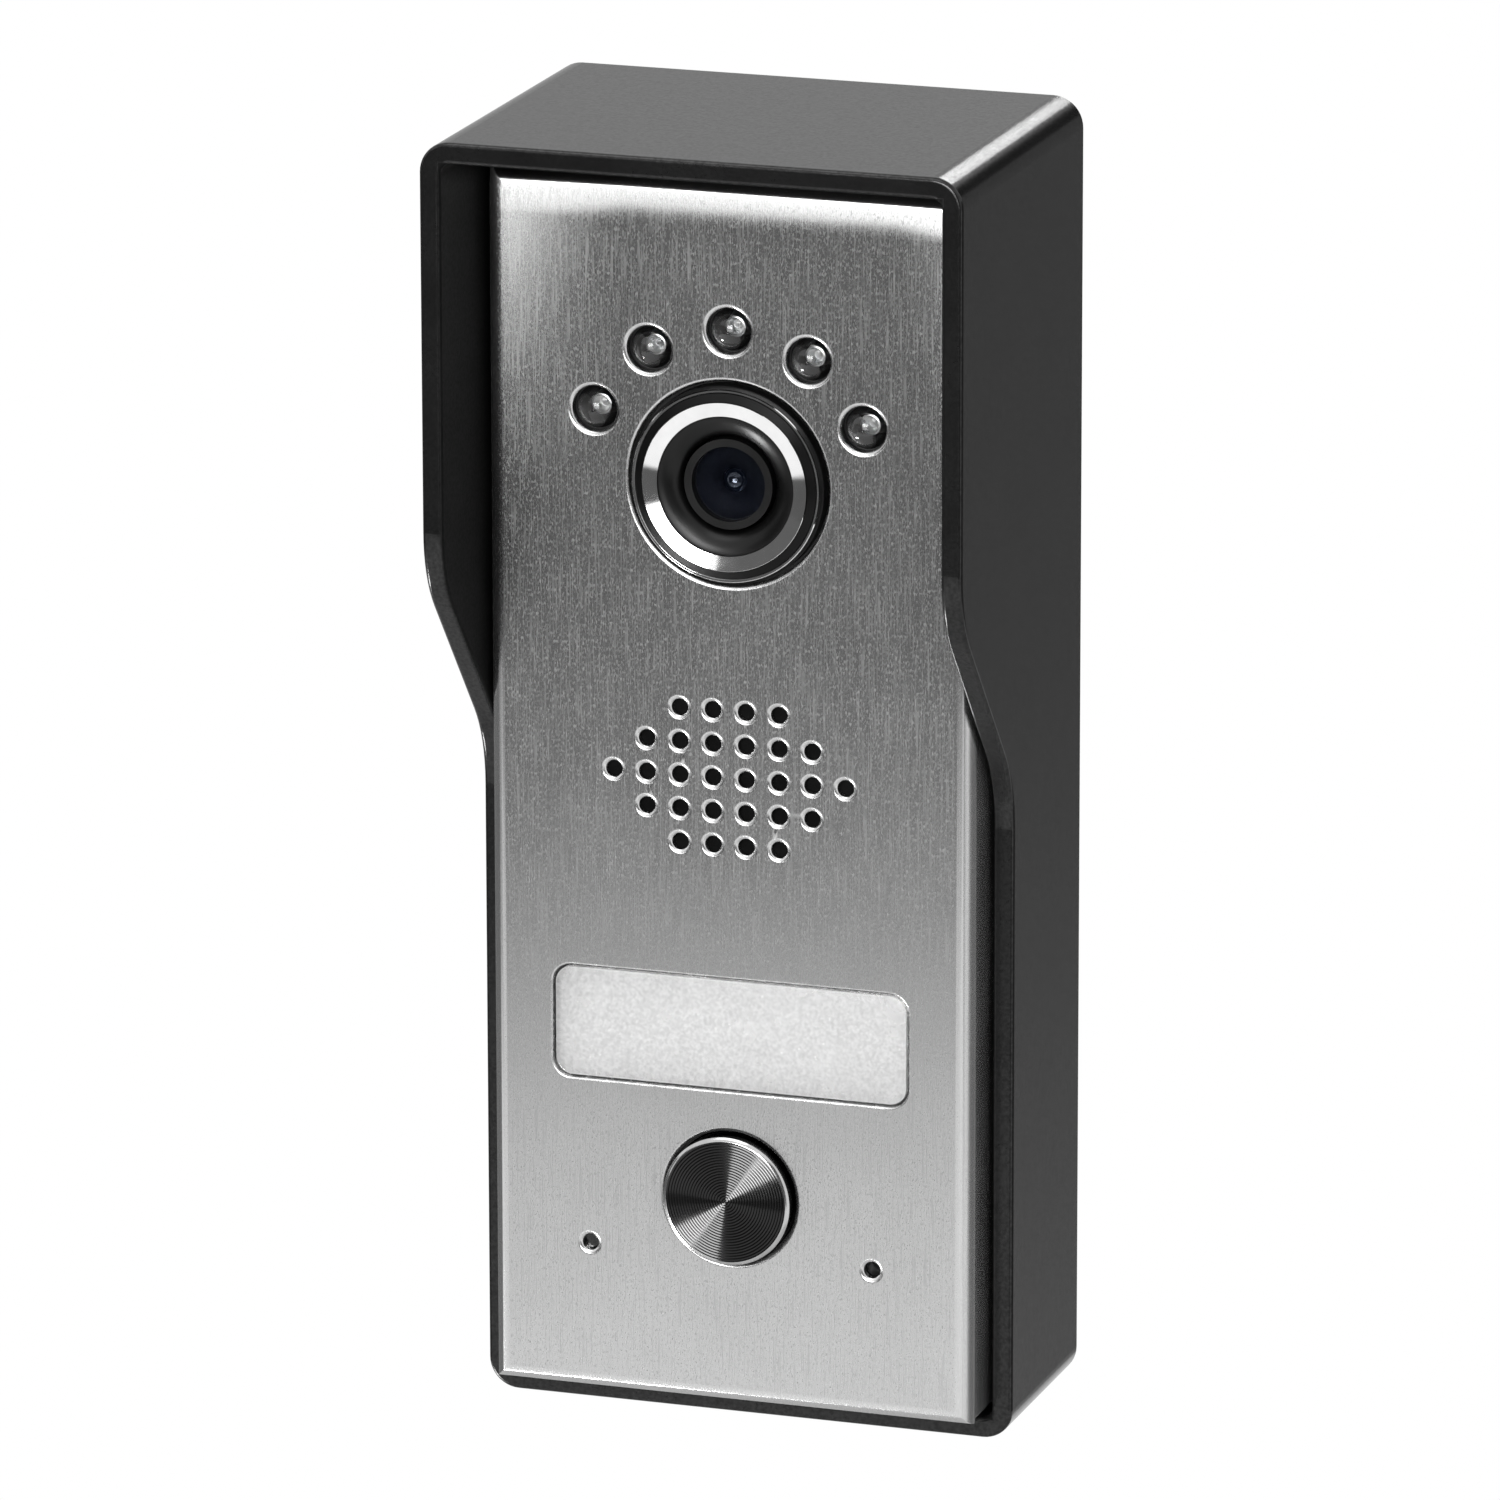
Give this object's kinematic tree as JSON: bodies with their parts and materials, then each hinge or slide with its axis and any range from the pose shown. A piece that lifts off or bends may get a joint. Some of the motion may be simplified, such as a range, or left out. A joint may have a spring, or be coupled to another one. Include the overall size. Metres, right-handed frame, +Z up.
{
  "type": "video doorbell",
  "caption": "Wall video doorbell: brushed steel panel with camera, infrared lamps, speaker holes, name window and sprung push button in a black rain hood.",
  "frame": {"origin": "centre of the back face that lies against the wall", "axes": "+Z up, the front faces -Y, +X to the viewer's right"},
  "size_m": [0.0644, 0.0455, 0.154],
  "materials": {
    "hood_black": "satin black moulding with a fine texture",
    "panel_steel": "stainless sheet with an upright brushed grain",
    "chrome": "mirror plated",
    "black_plastic": "dull black moulding",
    "lens_black": "semi-gloss black",
    "lens_glass": "coated lens glass",
    "lamp_clear": "clear epoxy",
    "window_clear": "clear sheet",
    "card": "blank pale card",
    "button_metal": "turned face with fine rings",
    "rubber": "soft black rubber",
    "board": "green circuit board",
    "screw_steel": "zinc plated",
    "brass": "turned brass",
    "magnet": "ferrite",
    "paper": "pressed paper cone",
    "copper": "enamelled copper wire",
    "frosted": "frosted light guide",
    "component": "moulded component cases",
    "terminal": "green terminal moulding",
    "cream": "cream connector moulding"
  },
  "bodies": {
    "station": {"backlight_leds": "frosted", "board_chips": "component", "board_screws": "screw_steel", "button_base": "black_plastic", "button_guide": "black_plastic", "button_spring": "screw_steel", "cable_grommet": "rubber", "camera_bezel": "black_plastic", "camera_board": "board", "camera_cone": "black_plastic", "camera_lip": "chrome", "camera_plug": "cream", "camera_ribbon": "cream", "camera_screws": "screw_steel", "camera_socket": "cream", "capacitors": "component", "case_screws": "screw_steel", "case_seal": "rubber", "chrome_ring": "chrome", "front_panel": "panel_steel", "image_sensor": "component", "inner_frame": "black_plastic", "ir_led_1": "lamp_clear", "ir_led_2": "lamp_clear", "ir_led_3": "lamp_clear", "ir_led_4": "lamp_clear", "ir_led_5": "lamp_clear", "led_board": "board", "lens_barrel": "lens_black", "lens_glass": "lens_glass", "lens_holder": "black_plastic", "lens_rear": "lens_glass", "light_guide": "frosted", "light_sensor": "lamp_clear", "lock_insert": "brass", "lock_screw": "screw_steel", "main_board": "board", "mic_boot": "rubber", "microphone": "screw_steel", "name_card": "card", "nameplate_window": "window_clear", "panel_gasket": "rubber", "rain_hood": "hood_black", "rear_case": "black_plastic", "speaker_cone": "paper", "speaker_frame": "black_plastic", "speaker_gasket": "rubber", "speaker_magnet": "magnet", "speaker_mesh": "paper", "stud_nuts": "screw_steel", "switch_body": "component", "terminal_block": "terminal", "terminal_screws": "screw_steel", "trimmer_body": "component", "voice_coil": "copper", "weld_studs": "screw_steel"},
    "button": {"button_cap": "button_metal"},
    "switch_tip": {"switch_plunger": "component"},
    "volume_rotor": {"trimmer_rotor": "cream"}
  },
  "joints": [
    {"name": "button_press", "type": "slide", "parent": "station", "child": "button", "axis": [0, 1, 0], "range_m": [0, 0.0009], "stiffness_N_per_m": 700, "springref_m": -0.001, "deforming": ["button_spring"]},
    {"name": "switch_press", "type": "slide", "parent": "station", "child": "switch_tip", "axis": [0, 1, 0], "range_m": [0, 0.0009]},
    {"name": "volume_turn", "type": "hinge", "parent": "station", "child": "volume_rotor", "pos_m": [0.0159, -0.006, -0.0291], "axis": [0, 1, 0], "range_deg": [-135, 135]}
  ],
  "couplings": [
    {"joint": "switch_press", "follows": "button_press", "ratio": 1}
  ]
}
